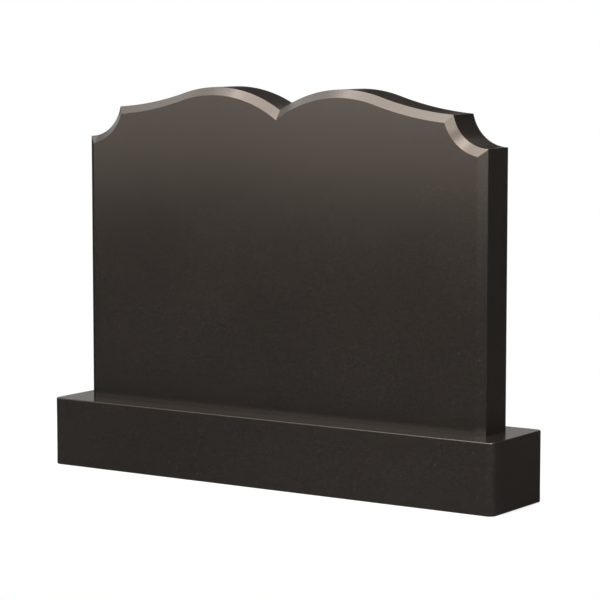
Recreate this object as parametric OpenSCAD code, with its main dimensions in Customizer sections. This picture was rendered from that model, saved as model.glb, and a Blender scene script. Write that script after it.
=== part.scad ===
// Headstone: an upright tablet with a two-lobed top and hollow shoulders, standing on a plinth.
// Sizes are in millimetres. The origin is the middle of the plinth's underside, +Z is up,
// and the bevelled face looks along -Y.

/* [Tablet] */
// Width across the upright sides
tablet_w = 1000; // [700:10:1400]
// Thickness from the front face to the back face
tablet_t = 96; // [60:1:150]
// Height of the upright sides, from the plinth to the hollows
side_h = 577; // [300:1:900]

/* [Top outline] */
// Rise of each hollow, from the side's end to the shoulder corner
hollow_rise = 66; // [45:1:80]
// Radius of the hollows
hollow_r = 82; // [66:1:120]
// Rise of the two crests above the shoulder corners
crest_rise = 46; // [35:1:60]
// Distance between the two crests
crest_gap = 316; // [240:2:400]
// Depth of the notch between the crests
notch_drop = 46; // [35:1:60]
// Radius of the concave sweep from each lobe out to its shoulder corner
sweep_r = 740; // [560:1:1000]

/* [Bevel round the front face] */
// Width of the bevel, seen from the front
bevel_w = 17; // [5:1:30]
// Depth of the bevel into the thickness
bevel_t = 15; // [5:1:40]

/* [Plinth] */
// Width of the plinth
base_w = 1112; // [800:2:1800]
// Depth of the plinth, front to back
base_d = 208; // [110:1:400]
// Height of the plinth
base_h = 148; // [60:1:300]
// Radius of the plinth's upright corners
base_corner_r = 15; // [8:1:40]
// Radius of the rounded top edge of the plinth
base_edge_r = 6; // [2:1:7]

/* [Hidden] */
$fn = 160;
stone_color = [0.16, 0.15, 0.14];
// How far a cutting shape runs past the face that it cuts
past = 5;

// Outline points as [across, up], with the height measured from the tablet's foot.
shoulder_h = side_h + hollow_rise;
crest_h = shoulder_h + crest_rise;
hollow_centre = [tablet_w / 2, side_h + hollow_r];
shoulder_x = tablet_w / 2 - sqrt(hollow_r ^ 2 - (hollow_r - hollow_rise) ^ 2);
shoulder = [shoulder_x, shoulder_h];

// A lobe is an arc through the crest and the notch, so the notch's depth sets its radius.
crest_x = crest_gap / 2;
lobe_r = (crest_x ^ 2 + notch_drop ^ 2) / (2 * notch_drop);
lobe_centre = [crest_x, crest_h - lobe_r];

// The sweep touches the lobe and passes through the shoulder corner. Its centre is the upper
// crossing of a circle round the lobe's centre with a circle round the shoulder corner.
reach = lobe_r + sweep_r;
span = norm(shoulder - lobe_centre);
along = (reach ^ 2 - sweep_r ^ 2 + span ^ 2) / (2 * span);
aside = sqrt(reach ^ 2 - along ^ 2);
toward = (shoulder - lobe_centre) / span;
sweep_centre = lobe_centre + along * toward + aside * [-toward[1], toward[0]];

// The line between the two centres crosses the outline where the lobe turns into the sweep.
turn_dir = (sweep_centre - lobe_centre) / reach;
above_turn = lobe_centre + (lobe_r + sweep_r / 4) * turn_dir;

// Mirrors its children to the other side as well.
module both_sides() {
    children();
    mirror([1, 0, 0]) children();
}

// A disc with the bevel run round it, kept between the tablet's sides and above its foot.
module lobe() {
    intersection() {
        translate(lobe_centre) {
            cylinder(h = tablet_t - bevel_t, r = lobe_r);
            translate([0, 0, tablet_t - bevel_t])
                cylinder(h = bevel_t, r1 = lobe_r, r2 = lobe_r - bevel_w);
        }
        translate([bevel_w - tablet_w / 2, 0, -past])
            cube([tablet_w - 2 * bevel_w, crest_h + past, tablet_t + 2 * past]);
    }
}

// Cuts a round hollow of radius r, flared towards the front to make its bevel.
module hollow_cut(centre, r) {
    slope = bevel_w / bevel_t;
    translate(centre) {
        translate([0, 0, -past]) cylinder(h = tablet_t - bevel_t + 2 * past, r = r);
        translate([0, 0, tablet_t - bevel_t])
            cylinder(h = bevel_t + past, r1 = r, r2 = r + slope * (bevel_t + past));
    }
}

// A straight slab, bevelled along its two upright front edges.
module bevelled_slab(h) {
    translate([0, h, 0]) rotate([90, 0, 0]) linear_extrude(height = h)
        polygon([
            [-tablet_w / 2, 0], [tablet_w / 2, 0],
            [tablet_w / 2, tablet_t - bevel_t], [tablet_w / 2 - bevel_w, tablet_t],
            [-tablet_w / 2 + bevel_w, tablet_t], [-tablet_w / 2, tablet_t - bevel_t]
        ]);
}

// The clear space above the two lobes: it opens upwards from the line through each lobe's centre.
module space_between_sweeps() {
    rise = above_turn + past * turn_dir;
    translate([0, 0, -past]) linear_extrude(height = tablet_t + 2 * past)
        polygon([
            lobe_centre, rise, [-rise[0], rise[1]], [-lobe_centre[0], lobe_centre[1]]
        ]);
}

// The stone lying on its back: across is X, up the stone is Y, and the front is at tablet_t.
module tablet_on_its_back() {
    difference() {
        union() {
            difference() {
                bevelled_slab(above_turn[1]);
                space_between_sweeps();
                both_sides() hollow_cut(sweep_centre, sweep_r);
            }
            both_sides() lobe();
        }
        both_sides() hollow_cut(hollow_centre, hollow_r);
    }
}

// The upright stone, standing flat on the middle of the plinth.
module tablet() {
    color(stone_color)
        translate([0, tablet_t / 2, base_h]) rotate([90, 0, 0]) tablet_on_its_back();
}

// The end view of a bar of width w, with its two top edges rounded.
module rounded_bar_profile(w) {
    translate([-w / 2, 0]) square([w, base_h - base_edge_r]);
    translate([-w / 2 + base_edge_r, 0]) square([w - 2 * base_edge_r, base_h]);
    for (side = [-1, 1])
        translate([side * (w / 2 - base_edge_r), base_h - base_edge_r]) circle(base_edge_r);
}

// One upright corner of the plinth, with the same rounding run round its top.
module corner_post() {
    cylinder(h = base_h - base_edge_r, r = base_corner_r);
    cylinder(h = base_h, r = base_corner_r - base_edge_r);
    translate([0, 0, base_h - base_edge_r]) rotate_extrude()
        intersection() {
            translate([base_corner_r - base_edge_r, 0]) circle(base_edge_r);
            translate([0, -base_edge_r]) square([base_corner_r, 2 * base_edge_r]);
        }
}

// The plinth: a low block with rounded upright corners and a rounded top edge.
module base() {
    color(stone_color) {
        rotate([90, 0, 0])
            linear_extrude(height = base_d - 2 * base_corner_r, center = true)
                rounded_bar_profile(base_w);
        rotate([90, 0, 90])
            linear_extrude(height = base_w - 2 * base_corner_r, center = true)
                rounded_bar_profile(base_d);
        for (side = [-1, 1], end = [-1, 1])
            translate([
                side * (base_w / 2 - base_corner_r), end * (base_d / 2 - base_corner_r), 0
            ])
                corner_post();
    }
}

tablet();
base();
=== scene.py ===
"""A polished black granite headstone: a tablet with two lobes on a low plinth, in a pale studio.

Lengths are in metres in the CAD model's own frame: +Z is up, the bevelled face looks
along -Y, and the origin is the middle of the plinth's underside.
"""

import math

import bpy
import numpy as np
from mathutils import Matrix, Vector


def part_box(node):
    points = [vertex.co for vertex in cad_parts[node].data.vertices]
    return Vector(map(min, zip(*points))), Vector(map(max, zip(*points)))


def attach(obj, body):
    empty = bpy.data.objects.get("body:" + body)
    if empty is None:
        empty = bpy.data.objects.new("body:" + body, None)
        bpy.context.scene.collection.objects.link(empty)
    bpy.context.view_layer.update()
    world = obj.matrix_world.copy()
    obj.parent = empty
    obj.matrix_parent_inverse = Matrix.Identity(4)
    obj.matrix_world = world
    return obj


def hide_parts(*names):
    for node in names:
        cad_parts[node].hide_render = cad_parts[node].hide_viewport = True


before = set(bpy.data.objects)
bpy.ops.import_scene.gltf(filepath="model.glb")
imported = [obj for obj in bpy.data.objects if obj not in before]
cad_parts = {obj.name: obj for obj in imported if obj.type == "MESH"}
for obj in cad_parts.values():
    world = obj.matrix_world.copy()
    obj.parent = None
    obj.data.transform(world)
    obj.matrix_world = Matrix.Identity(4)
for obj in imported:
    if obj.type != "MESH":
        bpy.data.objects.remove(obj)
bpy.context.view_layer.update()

# ---------------------------------------------------------------- sizes of the two stones

MM = 0.001
TABLET_LOW, TABLET_HIGH = (np.array(corner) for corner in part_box("tablet"))
PLINTH_LOW, PLINTH_HIGH = (np.array(corner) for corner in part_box("base"))

HALF_WIDTH = TABLET_HIGH[0]
FRONT_Y, BACK_Y = TABLET_LOW[1], TABLET_HIGH[1]
FOOT_Z = PLINTH_HIGH[2]
CREST_RISE = 46 * MM
HOLLOW_RISE = 66 * MM
HOLLOW_RADIUS = 82 * MM
SWEEP_RADIUS = 740 * MM
NOTCH_DROP = 46 * MM
CREST_X = 158 * MM
BEVEL_WIDTH = 17 * MM
BEVEL_DEPTH = 15 * MM
PLINTH_CORNER_RADIUS = 15 * MM
PLINTH_EDGE_RADIUS = 2.5 * MM

CREST_Z = TABLET_HIGH[2]
SHOULDER_Z = CREST_Z - CREST_RISE
SIDE_TOP_Z = SHOULDER_Z - HOLLOW_RISE

# The polisher's easing of the sharp edges, as the radius of each rounding.
BEVEL_INNER_EASE = 1.6 * MM
BEVEL_OUTER_EASE = 1.2 * MM
BACK_EASE = 1.6 * MM
CORNER_EASE = 1.6 * MM
PLINTH_FOOT_EASE = 1.5 * MM

# Steps along each curve of the outlines and of the edge profiles.
LOBE_STEPS = 56
SWEEP_STEPS = 32
HOLLOW_STEPS = 32
CORNER_STEPS = 5
NOTCH_STEPS = 6
PLINTH_CORNER_STEPS = 12
TABLET_EDGE_STEPS = 5
PLINTH_EDGE_STEPS = 8


# ---------------------------------------------------------------- the tablet's outline

def unit(vector):
    """The vector over its own length."""
    return vector / np.linalg.norm(vector)


LOBE_RADIUS = (CREST_X**2 + NOTCH_DROP**2) / (2 * NOTCH_DROP)
LOBE_CENTRE = np.array([CREST_X, CREST_Z - LOBE_RADIUS])
HOLLOW_CENTRE = np.array([HALF_WIDTH, SIDE_TOP_Z + HOLLOW_RADIUS])


def crossing(centre_a, radius_a, centre_b, radius_b):
    """The two points where two circles cross: out along the line of centres by the radical
    line's distance, then square to it by what is left of the first radius."""
    gap = np.linalg.norm(centre_b - centre_a)
    along = unit(centre_b - centre_a)
    square = np.array([-along[1], along[0]])
    out = (gap**2 + radius_a**2 - radius_b**2) / (2 * gap)
    aside = math.sqrt(radius_a**2 - out**2)
    middle = centre_a + out * along
    return middle + aside * square, middle - aside * square


def sweep_centre():
    """The centre of the arc that touches the lobe from outside and ends on the hollow, level
    with the shoulder: it is lobe radius plus sweep radius from the lobe's centre."""
    drop = HOLLOW_RADIUS - HOLLOW_RISE
    shoulder = np.array([
        HALF_WIDTH - math.sqrt(HOLLOW_RADIUS**2 - drop**2), SHOULDER_Z
    ])
    upper, _ = crossing(LOBE_CENTRE, LOBE_RADIUS + SWEEP_RADIUS, shoulder, SWEEP_RADIUS)
    return upper


SWEEP_CENTRE = sweep_centre()
TURN = unit(SWEEP_CENTRE - LOBE_CENTRE)


def arc(centre, radius, start, end, steps, outward):
    """Points of an arc, centre plus radius times (cos, sin) of angles spaced evenly from start
    to end, and its normals, which point away from the centre where outward is 1 and to it
    where outward is -1."""
    angle = np.linspace(start, end, steps + 1)
    spoke = np.stack([np.cos(angle), np.sin(angle)], axis=1)
    return centre + radius * spoke, outward * spoke


def eased_corner(before, corner, after, steps):
    """A rounded corner as a quadratic curve from one side's point to the other's, pulled
    towards the corner: (1-t)^2 before + 2t(1-t) corner + t^2 after. Its normal is its tangent
    turned a quarter to the left, which is outwards on a path that runs clockwise."""
    t = np.linspace(0, 1, steps + 1)[1:-1, None]
    points = (1 - t)**2 * before + 2 * t * (1 - t) * corner + t**2 * after
    tangent = (1 - t) * (corner - before) + t * (after - corner)
    normals = np.stack([-tangent[:, 1], tangent[:, 0]], axis=1)
    return points, normals / np.linalg.norm(normals, axis=1, keepdims=True)


def angle_of(point, centre):
    """The angle of the spoke from a circle's centre to a point."""
    spoke = point - centre
    return math.atan2(spoke[1], spoke[0])


def tablet_outline(inset):
    """The outline moved inwards by inset, from the left foot over the top to the right foot.

    Moving a chain of arcs inwards takes inset off each convex radius and adds it to each
    concave one, about the same centres, and their new crossings are the new corners. Each
    corner is then eased. The right half is worked out and mirrored to the left."""
    lobe_r = LOBE_RADIUS - inset
    sweep_r = SWEEP_RADIUS + inset
    hollow_r = HOLLOW_RADIUS + inset
    side_x = HALF_WIDTH - inset

    notch = np.array([0, LOBE_CENTRE[1] + math.sqrt(lobe_r**2 - CREST_X**2)])
    shoulder = min(
        crossing(HOLLOW_CENTRE, hollow_r, SWEEP_CENTRE, sweep_r), key=lambda point: point[0]
    )
    hollow_end = np.array([side_x, HOLLOW_CENTRE[1] - math.sqrt(hollow_r**2 - inset**2)])

    lobe_start = angle_of(notch, LOBE_CENTRE) - CORNER_EASE / lobe_r
    lobe_end = math.atan2(TURN[1], TURN[0])
    lobe, lobe_n = arc(LOBE_CENTRE, lobe_r, lobe_start, lobe_end, LOBE_STEPS, 1)

    sweep_start = math.atan2(-TURN[1], -TURN[0])
    sweep_end = angle_of(shoulder, SWEEP_CENTRE) - CORNER_EASE / sweep_r
    sweep, sweep_n = arc(SWEEP_CENTRE, sweep_r, sweep_start, sweep_end, SWEEP_STEPS, -1)

    hollow_start = angle_of(shoulder, HOLLOW_CENTRE) % math.tau + CORNER_EASE / hollow_r
    hollow_stop = angle_of(hollow_end, HOLLOW_CENTRE) % math.tau - CORNER_EASE / hollow_r
    hollow, hollow_n = arc(HOLLOW_CENTRE, hollow_r, hollow_start, hollow_stop, HOLLOW_STEPS, -1)

    side = np.array([hollow_end - [0, CORNER_EASE], [side_x, FOOT_Z]])
    side_n = np.array([[1.0, 0.0], [1.0, 0.0]])
    top_corner, top_corner_n = eased_corner(sweep[-1], shoulder, hollow[0], CORNER_STEPS)
    end_corner, end_corner_n = eased_corner(hollow[-1], hollow_end, side[0], CORNER_STEPS)

    flip = np.array([-1, 1])
    valley, valley_n = eased_corner(lobe[0] * flip, notch, lobe[0], NOTCH_STEPS)
    right = np.concatenate([lobe, sweep[1:], top_corner, hollow, end_corner, side])
    right_n = np.concatenate([
        lobe_n, sweep_n[1:], top_corner_n, hollow_n, end_corner_n, side_n
    ])
    points = np.concatenate([right[::-1] * flip, valley, right])
    normals = np.concatenate([right_n[::-1] * flip, valley_n, right_n])
    return points, normals


# ---------------------------------------------------------------- profiles through the edge

def eased_profile(corners, radii, steps):
    """A chain of straight lines with its inner corners rounded by true arcs.

    Each corner gives up radius times tan(half the turn) on both sides, and the arc between
    turns its normal evenly from one line's to the next's. A normal is the line's direction
    turned a quarter to the right. The chain's own two ends only give its first and last lines
    their directions. Returns the arcs' points and their normals."""
    corners = np.asarray(corners, float)
    lines = np.diff(corners, axis=0)
    lines /= np.linalg.norm(lines, axis=1, keepdims=True)
    normals = np.stack([lines[:, 1], -lines[:, 0]], axis=1)
    points, point_normals = [], []
    for i, radius in enumerate(radii):
        turn = math.acos(np.clip(lines[i] @ lines[i + 1], -1, 1))
        start = corners[i + 1] - lines[i] * radius * math.tan(turn / 2)
        centre = start - normals[i] * radius
        first = math.atan2(normals[i, 1], normals[i, 0])
        angle = first + np.linspace(0, turn, steps + 1)
        spoke = np.stack([np.cos(angle), np.sin(angle)], axis=1)
        points.append(centre + radius * spoke)
        point_normals.append(spoke)
    return np.concatenate(points), np.concatenate(point_normals)


def carry(profile, profile_normals, outline):
    """Carries a profile round an outline: the profile's first value is how far out it is and
    its second is how deep, and outline(inset) gives the path at each inset.

    Returns points and normals as grids [profile step, path step, 3], where the normal is the
    path's normal times the profile's outward part, with the profile's deep part along Y."""
    rings, ring_normals = [], []
    for (out, deep), (n_out, n_deep) in zip(profile, profile_normals):
        path, path_n = outline(-out)
        count = len(path)
        rings.append(np.stack([path[:, 0], np.full(count, deep), path[:, 1]], axis=1))
        ring_normals.append(np.stack(
            [n_out * path_n[:, 0], np.full(count, n_deep), n_out * path_n[:, 1]], axis=1
        ))
    return np.array(rings), np.array(ring_normals)


# ---------------------------------------------------------------- mesh building

def grid_quads(rows, columns, closed=False):
    """The quads of a grid of points numbered row by row. A closed grid joins its last column
    to its first."""
    last = columns if closed else columns - 1
    row, column = np.meshgrid(np.arange(rows - 1), np.arange(last), indexing="ij")
    here = row * columns + column
    beside = row * columns + (column + 1) % columns
    return np.stack([here, beside, beside + columns, here + columns], axis=-1).reshape(-1, 4)


def make_piece(name, points, faces, corner_normals, material):
    """Puts points and faces into a new smooth mesh, with one stored normal per face corner."""
    mesh = bpy.data.meshes.new(name)
    mesh.from_pydata(points.tolist(), [], faces)
    mesh.shade_smooth()
    mesh.normals_split_custom_set(corner_normals.tolist())
    mesh.materials.append(material)
    mesh.update()
    piece = bpy.data.objects.new(name, mesh)
    bpy.context.scene.collection.objects.link(piece)
    return piece


def tablet_mesh(material):
    """The tablet: its edge profile carried round the outline, then closed by flat strips.

    The front and back strips run from each top point straight down to the foot line, and
    the underside's strips run from the front foot line to the back one."""
    profile, profile_n = eased_profile(
        [
            (-2 * BEVEL_WIDTH, FRONT_Y), (-BEVEL_WIDTH, FRONT_Y),
            (0, FRONT_Y + BEVEL_DEPTH), (0, BACK_Y), (-BEVEL_WIDTH, BACK_Y),
        ],
        [BEVEL_INNER_EASE, BEVEL_OUTER_EASE, BACK_EASE],
        TABLET_EDGE_STEPS,
    )
    rings, normals = carry(profile, profile_n, tablet_outline)
    depth_steps, path_steps = rings.shape[:2]
    points = rings.reshape(-1, 3)
    ring_quads = grid_quads(depth_steps, path_steps)

    # One foot point under every top point but the two sides' own, for the front and the back.
    top = np.arange(1, path_steps - 1)
    under = top[1:-1]
    feet = []
    foot_index = []
    for ring in (0, depth_steps - 1):
        foot = rings[ring, under].copy()
        foot[:, 2] = FOOT_Z
        start = len(points) + sum(len(f) for f in feet)
        first = ring * path_steps
        foot_index.append(np.concatenate([
            [first], start + np.arange(len(under)), [first + path_steps - 1]
        ]))
        feet.append(foot)
    points = np.concatenate([points, *feet])

    front_foot, back_foot = foot_index
    back_top = (depth_steps - 1) * path_steps + top
    front_quads = np.stack([front_foot[:-1], front_foot[1:], top[1:], top[:-1]], axis=1)
    back_quads = np.stack([back_top[:-1], back_top[1:], back_foot[1:], back_foot[:-1]], axis=1)
    under_quads = np.stack(
        [front_foot[1:], front_foot[:-1], back_foot[:-1], back_foot[1:]], axis=1
    )
    rows = np.arange(depth_steps) * path_steps
    under_ends = [rows.tolist(), (rows[::-1] + path_steps - 1).tolist()]

    strips = (ring_quads, front_quads, back_quads, under_quads)
    faces = [quad for strip in strips for quad in strip.tolist()] + under_ends
    corner_normals = np.concatenate([
        normals.reshape(-1, 3)[ring_quads.ravel()],
        np.tile([0.0, -1.0, 0.0], (front_quads.size, 1)),
        np.tile([0.0, 1.0, 0.0], (back_quads.size, 1)),
        np.tile([0.0, 0.0, -1.0], (under_quads.size + 2 * depth_steps, 1)),
    ])
    return make_piece("tablet_stone", points, faces, corner_normals, material)


def plinth_outline(inset):
    """The plinth seen from above, moved inwards by inset: a rectangle whose corners are
    quarter circles of the corner radius less the inset, counter-clockwise from the back
    right. Returns points and normals; a straight side is the gap between two corners."""
    radius = PLINTH_CORNER_RADIUS - inset
    half = PLINTH_HIGH[:2] - PLINTH_CORNER_RADIUS
    quarter = np.linspace(0, math.pi / 2, PLINTH_CORNER_STEPS + 1)
    angle = np.concatenate([quarter + k * math.pi / 2 for k in range(4)])
    spoke = np.stack([np.cos(angle), np.sin(angle)], axis=1)
    sign = np.repeat(
        [[1, 1], [-1, 1], [-1, -1], [1, -1]], PLINTH_CORNER_STEPS + 1, axis=0
    )
    return sign * half + radius * spoke, spoke


def plinth_mesh(material):
    """The plinth: an edge profile carried round the rounded rectangle, from the top face's
    border down to the underside's, with both flat faces closed by strips across the depth."""
    low, high = PLINTH_LOW[2], PLINTH_HIGH[2]
    inner = -2 * PLINTH_EDGE_RADIUS
    profile, profile_n = eased_profile(
        [(inner, low), (0, low), (0, high), (inner, high)],
        [PLINTH_FOOT_EASE, PLINTH_EDGE_RADIUS],
        PLINTH_EDGE_STEPS,
    )
    rings, normals = [], []
    for (out, height), (n_out, n_up) in zip(profile, profile_n):
        path, path_n = plinth_outline(-out)
        count = len(path)
        rings.append(np.column_stack([path, np.full(count, height)]))
        normals.append(np.column_stack([n_out * path_n, np.full(count, n_up)]))
    rings, normals = np.array(rings), np.array(normals)
    height_steps, path_steps = rings.shape[:2]
    ring_quads = grid_quads(height_steps, path_steps, closed=True)

    # Point k of the back half faces point path_steps - 1 - k of the front half.
    back = np.arange(path_steps // 2)
    front = path_steps - 1 - back
    strips = np.stack([back[:-1], back[1:], front[1:], front[:-1]], axis=1)
    under_quads = strips[:, ::-1]
    top_quads = strips + (height_steps - 1) * path_steps
    faces = ring_quads.tolist() + under_quads.tolist() + top_quads.tolist()
    corner_normals = np.concatenate([
        normals.reshape(-1, 3)[ring_quads.ravel()],
        np.tile([0.0, 0.0, -1.0], (under_quads.size, 1)),
        np.tile([0.0, 0.0, 1.0], (top_quads.size, 1)),
    ])
    return make_piece("plinth_stone", rings.reshape(-1, 3), faces, corner_normals, material)


# ---------------------------------------------------------------- materials

DARK_TONE = (0.0072, 0.0060, 0.0052, 1)
PALE_TONE = (0.0175, 0.0146, 0.0126, 1)
SPECK_TONE = (0.06, 0.053, 0.047)
SHEEN_TINT = (1.0, 0.87, 0.78, 1)
SHEEN_LEVEL = 0.57
GRANITE_IOR = 1.5

CLOUDS_PER_METRE = 4.0
MOTTLES_PER_METRE = 170.0
MOTTLE_SHARE = 0.5
POLISH_BY_CRYSTAL = 0.04
POLISH_BY_CLOUD = 0.08
RELIEF_STRENGTH = 0.02
RELIEF_HEIGHT = 0.1 * MM

# The floor's colour, its painted white glow next to the plinth, and how far out the glow is
# full; the weaker glow by the plinth paints shade round the base.
FLOOR_COLOUR = (0.55, 0.57, 0.59, 1)
FLOOR_GLOW = 0.3
SHADOW_REACH = 0.9


def link(tree, source, target):
    tree.links.new(source, target)


def math_node(tree, operation, *values, clamp=False):
    """A Math node fed by sockets or plain numbers. Returns its output."""
    node = tree.nodes.new("ShaderNodeMath")
    node.operation = operation
    node.use_clamp = clamp
    for socket, value in zip(node.inputs, values):
        if isinstance(value, bpy.types.NodeSocket):
            link(tree, value, socket)
        else:
            socket.default_value = value
    return node.outputs[0]


def vector_node(tree, operation, *values):
    """A Vector Math node fed by sockets or plain triples. Returns its vector."""
    node = tree.nodes.new("ShaderNodeVectorMath")
    node.operation = operation
    for socket, value in zip(node.inputs, values):
        if isinstance(value, bpy.types.NodeSocket):
            link(tree, value, socket)
        else:
            socket.default_value = value
    return node.outputs[0]


def noise(tree, place, scale, detail):
    """Noise of the given scale, in grains per metre. Returns its value, about 0.5 on average."""
    node = tree.nodes.new("ShaderNodeTexNoise")
    node.inputs["Scale"].default_value = scale
    node.inputs["Detail"].default_value = detail
    link(tree, place, node.inputs["Vector"])
    return node.outputs["Fac"]


def blend_colour(tree, amount, first, second):
    """A Mix node between two colours, each a socket or a plain colour. Returns its output."""
    node = tree.nodes.new("ShaderNodeMix")
    node.data_type = "RGBA"
    link(tree, amount, node.inputs["Factor"])
    for socket, value in zip((node.inputs["A"], node.inputs["B"]), (first, second)):
        if isinstance(value, bpy.types.NodeSocket):
            link(tree, value, socket)
        else:
            socket.default_value = (*value, 1)
    return node.outputs["Result"]


def granite_grain_group():
    """Fine black granite: close-packed dark crystals, the palest of them feldspar, rare bright
    specks and a slow cloudiness, all on Object coordinates.

    Each crystal has three random draws. The first, cubed, says how pale it is, so that most
    are dark. The second makes the few under the speck share glint. The third shifts how well
    the crystal takes the polish. Outputs are the colour, the roughness and a crystal height."""
    group = bpy.data.node_groups.new("black_granite_grain", "ShaderNodeTree")
    for name, kind, value in (
        ("Crystals per metre", "NodeSocketFloat", 800.0),
        ("Dark tone", "NodeSocketColor", DARK_TONE),
        ("Pale tone", "NodeSocketColor", PALE_TONE),
        ("Speck share", "NodeSocketFloat", 0.0008),
        ("Cloudiness", "NodeSocketFloat", 0.3),
        ("Polish", "NodeSocketFloat", 0.2),
    ):
        socket = group.interface.new_socket(name=name, in_out="INPUT", socket_type=kind)
        socket.default_value = value
    for name, kind in (
        ("Colour", "NodeSocketColor"), ("Roughness", "NodeSocketFloat"),
        ("Height", "NodeSocketFloat"),
    ):
        group.interface.new_socket(name=name, in_out="OUTPUT", socket_type=kind)

    entry = group.nodes.new("NodeGroupInput").outputs
    leave = group.nodes.new("NodeGroupOutput").inputs
    place = group.nodes.new("ShaderNodeTexCoord").outputs["Object"]
    crystals = group.nodes.new("ShaderNodeTexVoronoi")
    link(group, place, crystals.inputs["Vector"])
    link(group, entry["Crystals per metre"], crystals.inputs["Scale"])
    draws = group.nodes.new("ShaderNodeSeparateColor")
    link(group, crystals.outputs["Color"], draws.inputs["Color"])
    paleness, glint, bite = draws.outputs
    cloud = math_node(group, "SUBTRACT", noise(group, place, CLOUDS_PER_METRE, 3.0), 0.5)
    mottle = math_node(group, "SUBTRACT", noise(group, place, MOTTLES_PER_METRE, 2.0), 0.5)

    pale = math_node(group, "POWER", paleness, 3.0)
    mottled = math_node(group, "MULTIPLY_ADD", mottle, MOTTLE_SHARE, pale)
    drift = math_node(group, "MULTIPLY", cloud, entry["Cloudiness"])
    amount = math_node(group, "ADD", mottled, drift, clamp=True)
    body = blend_colour(group, amount, entry["Dark tone"], entry["Pale tone"])
    speck = math_node(group, "LESS_THAN", glint, entry["Speck share"])
    link(group, blend_colour(group, speck, body, SPECK_TONE), leave["Colour"])

    bite_offset = math_node(group, "SUBTRACT", bite, 0.5)
    uneven = math_node(group, "MULTIPLY", bite_offset, POLISH_BY_CRYSTAL)
    hazed = math_node(group, "MULTIPLY_ADD", cloud, POLISH_BY_CLOUD, uneven)
    link(group, math_node(group, "ADD", entry["Polish"], hazed, clamp=True), leave["Roughness"])
    link(group, paleness, leave["Height"])
    return group


def polished_granite(name, grain, crystals_per_metre, cloudiness, polish):
    """One stone's material: the shared grain with this stone's own values feeds the colour, the
    roughness and a faint relief. The sheen is tinted brown where it is seen square on."""
    material = bpy.data.materials.new(name)
    material.use_nodes = True
    tree = material.node_tree
    shader = tree.nodes["Principled BSDF"]
    pattern = tree.nodes.new("ShaderNodeGroup")
    pattern.node_tree = grain
    pattern.inputs["Crystals per metre"].default_value = crystals_per_metre
    pattern.inputs["Dark tone"].default_value = DARK_TONE
    pattern.inputs["Pale tone"].default_value = PALE_TONE
    pattern.inputs["Cloudiness"].default_value = cloudiness
    pattern.inputs["Polish"].default_value = polish
    link(tree, pattern.outputs["Colour"], shader.inputs["Base Color"])
    link(tree, pattern.outputs["Roughness"], shader.inputs["Roughness"])
    relief = tree.nodes.new("ShaderNodeBump")
    relief.inputs["Strength"].default_value = RELIEF_STRENGTH
    relief.inputs["Distance"].default_value = RELIEF_HEIGHT
    link(tree, pattern.outputs["Height"], relief.inputs["Height"])
    link(tree, relief.outputs["Normal"], shader.inputs["Normal"])
    shader.inputs["IOR"].default_value = GRANITE_IOR
    shader.inputs["Specular IOR Level"].default_value = SHEEN_LEVEL
    shader.inputs["Specular Tint"].default_value = SHEEN_TINT
    return material


def floor_material():
    """A matt pale floor that takes the lamps' soft shadows by the plinth and, for the camera's
    rays only, fades into a painted white glow, the white of the room. The glow is weakest by the
    plinth, so where the lamps give less than white the floor there is painted darker: a painted
    shade round the base on top of the real shadows.

    The fade is a smooth step from FLOOR_GLOW to 1 of the distance from the plinth's rectangle,
    which is the length of how far the point lies past the half sizes, in X and in Y."""
    material = bpy.data.materials.new("pale_floor")
    material.use_nodes = True
    tree = material.node_tree
    matt = tree.nodes["Principled BSDF"]
    matt.inputs["Base Color"].default_value = FLOOR_COLOUR
    matt.inputs["Roughness"].default_value = 1.0
    matt.inputs["Specular IOR Level"].default_value = 0.0
    white = tree.nodes.new("ShaderNodeEmission")
    white.inputs["Strength"].default_value = 1.0
    place = tree.nodes.new("ShaderNodeTexCoord").outputs["Object"]
    half = (PLINTH_HIGH[0], PLINTH_HIGH[1], 0)
    beyond = vector_node(tree, "SUBTRACT", vector_node(tree, "ABSOLUTE", place), half)
    past = vector_node(tree, "MAXIMUM", beyond, (0, 0, 0))
    distance = tree.nodes.new("ShaderNodeVectorMath")
    distance.operation = "LENGTH"
    link(tree, past, distance.inputs[0])
    # The painted glow is FLOOR_GLOW next to the plinth and full at SHADOW_REACH out, so the
    # floor by the plinth is painted darker, a painted shade round the base.
    fade = tree.nodes.new("ShaderNodeMapRange")
    fade.interpolation_type = "SMOOTHERSTEP"
    fade.inputs["From Max"].default_value = SHADOW_REACH
    fade.inputs["To Min"].default_value = FLOOR_GLOW
    link(tree, distance.outputs["Value"], fade.inputs["Value"])
    seen = tree.nodes.new("ShaderNodeLightPath").outputs["Is Camera Ray"]
    mixed = tree.nodes.new("ShaderNodeMixShader")
    link(tree, math_node(tree, "MULTIPLY", fade.outputs["Result"], seen), mixed.inputs["Fac"])
    link(tree, matt.outputs[0], mixed.inputs[1])
    link(tree, white.outputs[0], mixed.inputs[2])
    link(tree, mixed.outputs[0], tree.nodes["Material Output"].inputs["Surface"])
    return material


# ---------------------------------------------------------------- camera, floor and light

CAMERA_PLACE = (3.0467, -4.5258, 0.9982)
LOOK_DOWN = 6.366
LOOK_LEFT = 33.70
LENS_MM = 155.7
SENSOR_MM = 36

FLOOR_RADIUS = 400
LIGHT_COLOUR = (1.0, 0.965, 0.92)

# The softboxes all face the middle of the stone, at its height or at their own.
STONE_MIDDLE = 0.4
DOME_REACH = 3.5
RING_ELEVATION = 52
RING_BOX = (1.15, 1.6)
BAND_REACH = 3.0

# How bright the room is for matt surfaces, and how bright in the polish above the horizon.
ROOM_FILL = 0.3
ROOM_MIRRORED = 0.02

# The glows below the horizon in the polish, and the most that they add up to.
APRON_LEVEL = 0.075
APRON_TO_FRONT = 0.09
APRON_TO_RIGHT = 0.05
FAR_START = 0.92
FAR_SLOPE = 4.0
POOL_START = 0.205
POOL_SLOPE = 4.0
BELOW_LIMIT = 0.6


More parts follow.
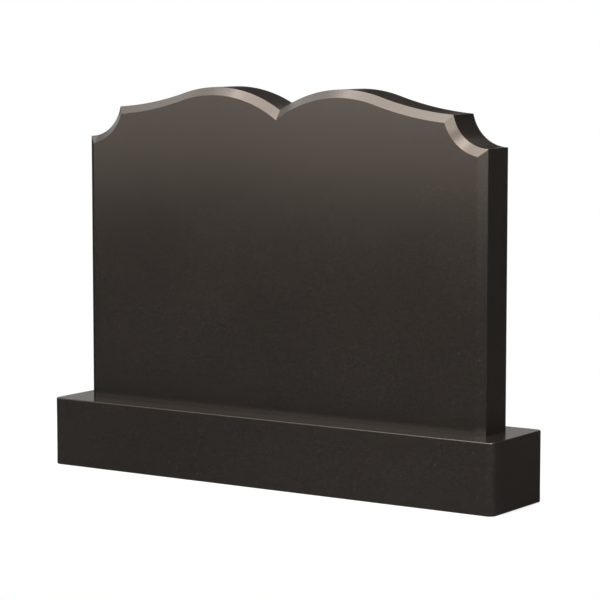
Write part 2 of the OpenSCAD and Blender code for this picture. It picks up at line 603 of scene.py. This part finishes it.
def add_camera():
    """Stands to the right of the stone, a little above it, and looks slightly down."""
    data = bpy.data.cameras.new("camera")
    data.lens = LENS_MM
    data.sensor_width = SENSOR_MM
    data.clip_end = 2 * FLOOR_RADIUS
    camera = bpy.data.objects.new("camera", data)
    camera.location = CAMERA_PLACE
    camera.rotation_euler = (math.radians(90 - LOOK_DOWN), 0, math.radians(LOOK_LEFT))
    bpy.context.scene.collection.objects.link(camera)
    bpy.context.scene.camera = camera


def add_floor():
    """A wide disc at ground level, which the polished stone doesn't mirror."""
    bpy.ops.mesh.primitive_circle_add(vertices=128, radius=FLOOR_RADIUS, fill_type="NGON")
    floor = bpy.context.object
    floor.name = "floor"
    floor.data.materials.append(floor_material())
    floor.visible_glossy = False


def polar(azimuth, elevation, distance, height):
    """The point at a distance from (0, 0, height), with angles in degrees and 0 at +X."""
    turn = math.radians(azimuth)
    lift = math.radians(elevation)
    flat = distance * math.cos(lift)
    return np.array([
        flat * math.cos(turn), flat * math.sin(turn), height + distance * math.sin(lift)
    ])


def add_softbox(name, place, aim_height, width, height, radiance):
    """A rectangular area light that faces the point at its aim height above the origin, and
    stays out of the camera's sight. Its power is its radiance times pi times its area."""
    data = bpy.data.lights.new(name, "AREA")
    data.shape = "RECTANGLE"
    data.size = width
    data.size_y = height
    data.energy = radiance * math.pi * width * height
    data.color = LIGHT_COLOUR
    light = bpy.data.objects.new(name, data)
    light.location = place
    x, y, z = np.array([0, 0, aim_height]) - place
    tilt = math.atan2(z, math.hypot(x, y)) + math.pi / 2
    light.rotation_euler = (tilt, 0, math.atan2(-x, y))
    light.visible_camera = False
    bpy.context.scene.collection.objects.link(light)


def add_dome():
    """One wide softbox overhead, a ring high up that is brightest in front on the right, with
    one box of it behind, and a lower box on each side."""
    top = np.array([0, -0.05, STONE_MIDDLE + DOME_REACH])
    add_softbox("overhead", top, STONE_MIDDLE, 3.4, 3.4, 7.0)
    for azimuth, radiance in (
        (180, 2.6), (210, 3.8), (240, 5.3), (270, 6.6), (300, 7.2), (330, 6.0), (90, 2.5)
    ):
        place = polar(azimuth, RING_ELEVATION, DOME_REACH, STONE_MIDDLE)
        add_softbox(f"high_{azimuth}", place, STONE_MIDDLE, *RING_BOX, radiance)
    left = polar(169, 25, DOME_REACH, STONE_MIDDLE)
    add_softbox("left", left, STONE_MIDDLE, 1.7, 2.0, 1.05)
    right = polar(320, 26, DOME_REACH, STONE_MIDDLE)
    add_softbox("right", right, STONE_MIDDLE, 1.7, 1.6, 7.6)


def add_bands():
    """Two low bands of softboxes round the front, the upper one the brighter, and a dim card
    behind. A band's boxes stand upright, each given as its azimuth, width and radiance."""
    for level, height, boxes in (
        (0.925, 0.35, ((213, 2.48, 2.7), (258, 2.48, 3.4), (308, 3.0, 4.6))),
        (0.6, 0.3, ((213, 2.48, 1.2), (258, 2.48, 1.6), (308, 3.0, 1.7))),
    ):
        for azimuth, width, radiance in boxes:
            place = polar(azimuth, 0, BAND_REACH, level)
            add_softbox(f"band_{azimuth}_{level}", place, level, width, height, radiance)
    add_softbox("card_behind", polar(121, 0, 2.0, 0.52), 0.52, 1.8, 1.0, 0.42)


def glow_below(tree, heading):
    """How bright the polish sees the room below the horizon, for a unit heading (x, y, z).

    Three glows add up, each no less than zero. The apron is its level less y times its share
    to the front, plus x times its share to the right. The far glow is its slope times how far
    y is past its start. Both stop at the horizon. The pool is its slope times how far -z is
    past its start, so it grows with depth. The sum is held to the limit."""
    split = tree.nodes.new("ShaderNodeSeparateXYZ")
    link(tree, heading, split.inputs["Vector"])
    across, inward, up = split.outputs
    to_front = math_node(tree, "MULTIPLY_ADD", inward, -APRON_TO_FRONT, APRON_LEVEL)
    apron = math_node(tree, "MULTIPLY_ADD", across, APRON_TO_RIGHT, to_front)
    apron = math_node(tree, "MAXIMUM", apron, 0.0)
    far = math_node(tree, "MULTIPLY_ADD", inward, FAR_SLOPE, -FAR_SLOPE * FAR_START)
    far = math_node(tree, "MAXIMUM", far, 0.0)
    pool = math_node(tree, "MULTIPLY_ADD", up, -POOL_SLOPE, -POOL_SLOPE * POOL_START)
    pool = math_node(tree, "MAXIMUM", pool, 0.0)
    below = math_node(tree, "LESS_THAN", up, 0.0)
    flat = math_node(tree, "MULTIPLY", below, math_node(tree, "ADD", apron, far))
    return math_node(tree, "MINIMUM", math_node(tree, "ADD", pool, flat), BELOW_LIMIT)


def add_world():
    """The camera sees a white room and matt surfaces get a weak fill from all round. In the
    polish the room is dim, with a soft glow below the horizon."""
    world = bpy.data.worlds.new("studio")
    bpy.context.scene.world = world
    world.use_nodes = True
    tree = world.node_tree
    tree.nodes.clear()
    path = tree.nodes.new("ShaderNodeLightPath").outputs
    heading = tree.nodes.new("ShaderNodeTexCoord").outputs["Generated"]
    mirrored = math_node(tree, "MAXIMUM", glow_below(tree, heading), ROOM_MIRRORED)
    matt = math_node(tree, "SUBTRACT", 1.0, path["Is Glossy Ray"])
    fill = math_node(tree, "MULTIPLY", matt, ROOM_FILL)
    level = math_node(tree, "MULTIPLY_ADD", path["Is Glossy Ray"], mirrored, fill)
    strength = math_node(tree, "MAXIMUM", level, path["Is Camera Ray"])
    room = tree.nodes.new("ShaderNodeBackground")
    link(tree, strength, room.inputs["Strength"])
    room.inputs["Color"].default_value = (1, 1, 1, 1)
    out = tree.nodes.new("ShaderNodeOutputWorld")
    link(tree, room.outputs[0], out.inputs["Surface"])


# ---------------------------------------------------------------- the scene

bpy.context.scene.view_settings.view_transform = "Standard"
add_camera()
add_world()
add_floor()
add_dome()
add_bands()

granite = granite_grain_group()
tablet_granite = polished_granite(
    "tablet_granite", granite, crystals_per_metre=800, cloudiness=0.3, polish=0.2
)
plinth_granite = polished_granite(
    "plinth_granite", granite, crystals_per_metre=760, cloudiness=0.3, polish=0.2
)

tablet_stone = tablet_mesh(tablet_granite)
plinth_stone = plinth_mesh(plinth_granite)
for stone, node in ((tablet_stone, "tablet"), (plinth_stone, "base")):
    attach(stone, "root")
    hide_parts(node)
